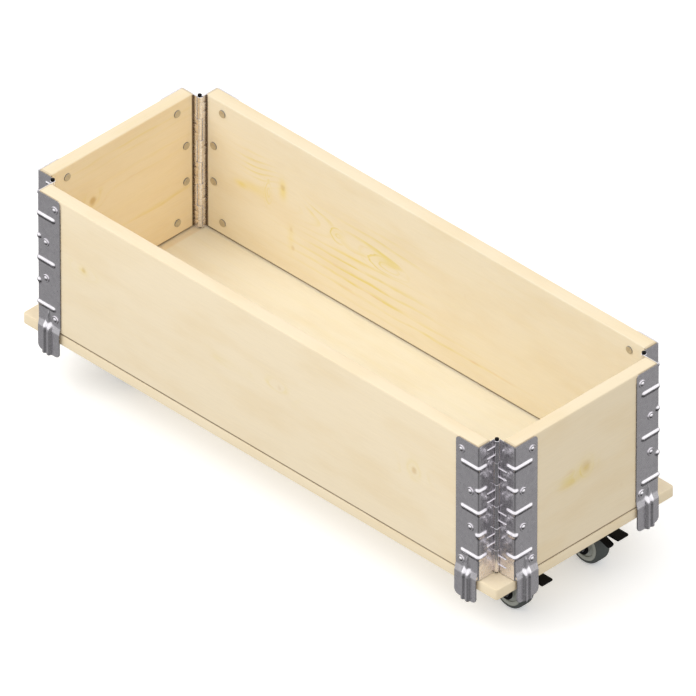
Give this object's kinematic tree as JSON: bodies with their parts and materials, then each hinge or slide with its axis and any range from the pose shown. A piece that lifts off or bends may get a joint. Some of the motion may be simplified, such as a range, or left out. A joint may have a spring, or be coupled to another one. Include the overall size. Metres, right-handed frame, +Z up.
{
  "type": "hinged pallet collar box on castors",
  "caption": "Open wooden box of hinged collar boards standing on a flat base board that rolls on swivel castors with foot brakes.",
  "frame": {"origin": "on the floor, under the middle of the base board", "axes": "+X along the long side towards the end with the braked castors, +Y across the box, +Z up"},
  "size_m": [0.8086, 0.3086, 0.2875],
  "materials": {
    "collar_wood": "planed pine with knots, unvarnished",
    "base_wood": "smooth pine board, unvarnished",
    "galvanised_steel": "galvanised, mottled spangle",
    "pin_steel": "dark oxide",
    "bright_zinc": "bright zinc plating",
    "black_steel": "black satin coating",
    "hub_plastic": "satin moulded plastic",
    "bush_plastic": "plain moulded plastic",
    "grey_rubber": "matte grey rubber"
  },
  "bodies": {
    "base": {"base_board": "base_wood", "castor_plate_left_front": "bright_zinc", "castor_king_pin_left_front": "bright_zinc", "castor_plate_left_back": "bright_zinc", "castor_king_pin_left_back": "bright_zinc", "castor_plate_right_front": "bright_zinc", "castor_king_pin_right_front": "bright_zinc", "castor_plate_right_back": "bright_zinc", "castor_king_pin_right_back": "bright_zinc"},
    "front_panel": {"front_board": "collar_wood", "front_leaf_end": "galvanised_steel", "front_leaf_start": "galvanised_steel", "hinge_pin_right_front": "pin_steel", "hinge_pin_left_front": "pin_steel"},
    "right_panel": {"right_board": "collar_wood", "right_leaf_end": "galvanised_steel", "right_leaf_start": "galvanised_steel", "hinge_pin_right_back": "pin_steel"},
    "back_panel": {"back_board": "collar_wood", "back_leaf_end": "galvanised_steel", "back_leaf_start": "galvanised_steel", "hinge_pin_left_back": "pin_steel"},
    "left_panel": {"left_board": "collar_wood", "left_leaf_end": "galvanised_steel", "left_leaf_start": "galvanised_steel"},
    "swivel_left_front": {"castor_race_left_front": "bright_zinc", "castor_fork_left_front": "black_steel", "castor_axle_left_front": "bright_zinc", "castor_nut_left_front": "bright_zinc", "castor_bush_left_front": "bush_plastic"},
    "wheel_left_front": {"wheel_hub_left_front": "hub_plastic", "wheel_tyre_left_front": "grey_rubber"},
    "swivel_left_back": {"castor_race_left_back": "bright_zinc", "castor_fork_left_back": "black_steel", "castor_axle_left_back": "bright_zinc", "castor_nut_left_back": "bright_zinc", "castor_bush_left_back": "bush_plastic"},
    "wheel_left_back": {"wheel_hub_left_back": "hub_plastic", "wheel_tyre_left_back": "grey_rubber"},
    "swivel_right_front": {"castor_race_right_front": "bright_zinc", "castor_fork_right_front": "black_steel", "castor_axle_right_front": "bright_zinc", "castor_nut_right_front": "bright_zinc", "castor_bush_right_front": "bush_plastic", "brake_pin_right_front": "bright_zinc"},
    "wheel_right_front": {"wheel_hub_right_front": "hub_plastic", "wheel_tyre_right_front": "grey_rubber"},
    "swivel_right_back": {"castor_race_right_back": "bright_zinc", "castor_fork_right_back": "black_steel", "castor_axle_right_back": "bright_zinc", "castor_nut_right_back": "bright_zinc", "castor_bush_right_back": "bush_plastic", "brake_pin_right_back": "bright_zinc"},
    "wheel_right_back": {"wheel_hub_right_back": "hub_plastic", "wheel_tyre_right_back": "grey_rubber"},
    "pedal_right_front": {"brake_pedal_right_front": "black_steel"},
    "pedal_right_back": {"brake_pedal_right_back": "black_steel"}
  },
  "joints": [
    {"name": "collar_lift", "type": "slide", "parent": "base", "child": "front_panel", "axis": [0, 0, 1], "range_m": [0, 0.4]},
    {"name": "fold_right_front", "type": "hinge", "parent": "front_panel", "child": "right_panel", "pos_m": [0.3737, -0.1237, 0.0925], "axis": [0, 0, -1], "range_deg": [0, 90]},
    {"name": "fold_right_back", "type": "hinge", "parent": "right_panel", "child": "back_panel", "pos_m": [0.3737, 0.1237, 0.0925], "axis": [0, 0, 1], "range_deg": [0, 90]},
    {"name": "fold_left_front", "type": "hinge", "parent": "front_panel", "child": "left_panel", "pos_m": [-0.3737, -0.1237, 0.0925], "axis": [0, 0, -1], "range_deg": [0, 90]},
    {"name": "swivel_left_front", "type": "hinge", "parent": "base", "child": "swivel_left_front", "pos_m": [-0.324, -0.064, 0.077], "axis": [0, 0, 1], "continuous": true},
    {"name": "spin_left_front", "type": "hinge", "parent": "swivel_left_front", "child": "wheel_left_front", "pos_m": [-0.304, -0.064, 0.025], "axis": [0, 1, 0], "continuous": true},
    {"name": "swivel_left_back", "type": "hinge", "parent": "base", "child": "swivel_left_back", "pos_m": [-0.324, 0.064, 0.077], "axis": [0, 0, 1], "continuous": true},
    {"name": "spin_left_back", "type": "hinge", "parent": "swivel_left_back", "child": "wheel_left_back", "pos_m": [-0.304, 0.064, 0.025], "axis": [0, 1, 0], "continuous": true},
    {"name": "swivel_right_front", "type": "hinge", "parent": "base", "child": "swivel_right_front", "pos_m": [0.324, -0.064, 0.077], "axis": [0, 0, 1], "continuous": true},
    {"name": "spin_right_front", "type": "hinge", "parent": "swivel_right_front", "child": "wheel_right_front", "pos_m": [0.344, -0.064, 0.025], "axis": [0, 1, 0], "continuous": true},
    {"name": "brake_right_front", "type": "hinge", "parent": "swivel_right_front", "child": "pedal_right_front", "pos_m": [0.336, -0.064, 0.0585], "axis": [0, 1, 0], "range_deg": [0, 10]},
    {"name": "swivel_right_back", "type": "hinge", "parent": "base", "child": "swivel_right_back", "pos_m": [0.324, 0.064, 0.077], "axis": [0, 0, 1], "continuous": true},
    {"name": "spin_right_back", "type": "hinge", "parent": "swivel_right_back", "child": "wheel_right_back", "pos_m": [0.344, 0.064, 0.025], "axis": [0, 1, 0], "continuous": true},
    {"name": "brake_right_back", "type": "hinge", "parent": "swivel_right_back", "child": "pedal_right_back", "pos_m": [0.336, 0.064, 0.0585], "axis": [0, 1, 0], "range_deg": [0, 10]}
  ],
  "couplings": [
    {"joint": "fold_right_front", "follows": "collar_lift", "rad_per_m": 3.9269},
    {"joint": "fold_right_back", "follows": "collar_lift", "rad_per_m": 3.9269},
    {"joint": "fold_left_front", "follows": "collar_lift", "rad_per_m": 3.9269}
  ]
}
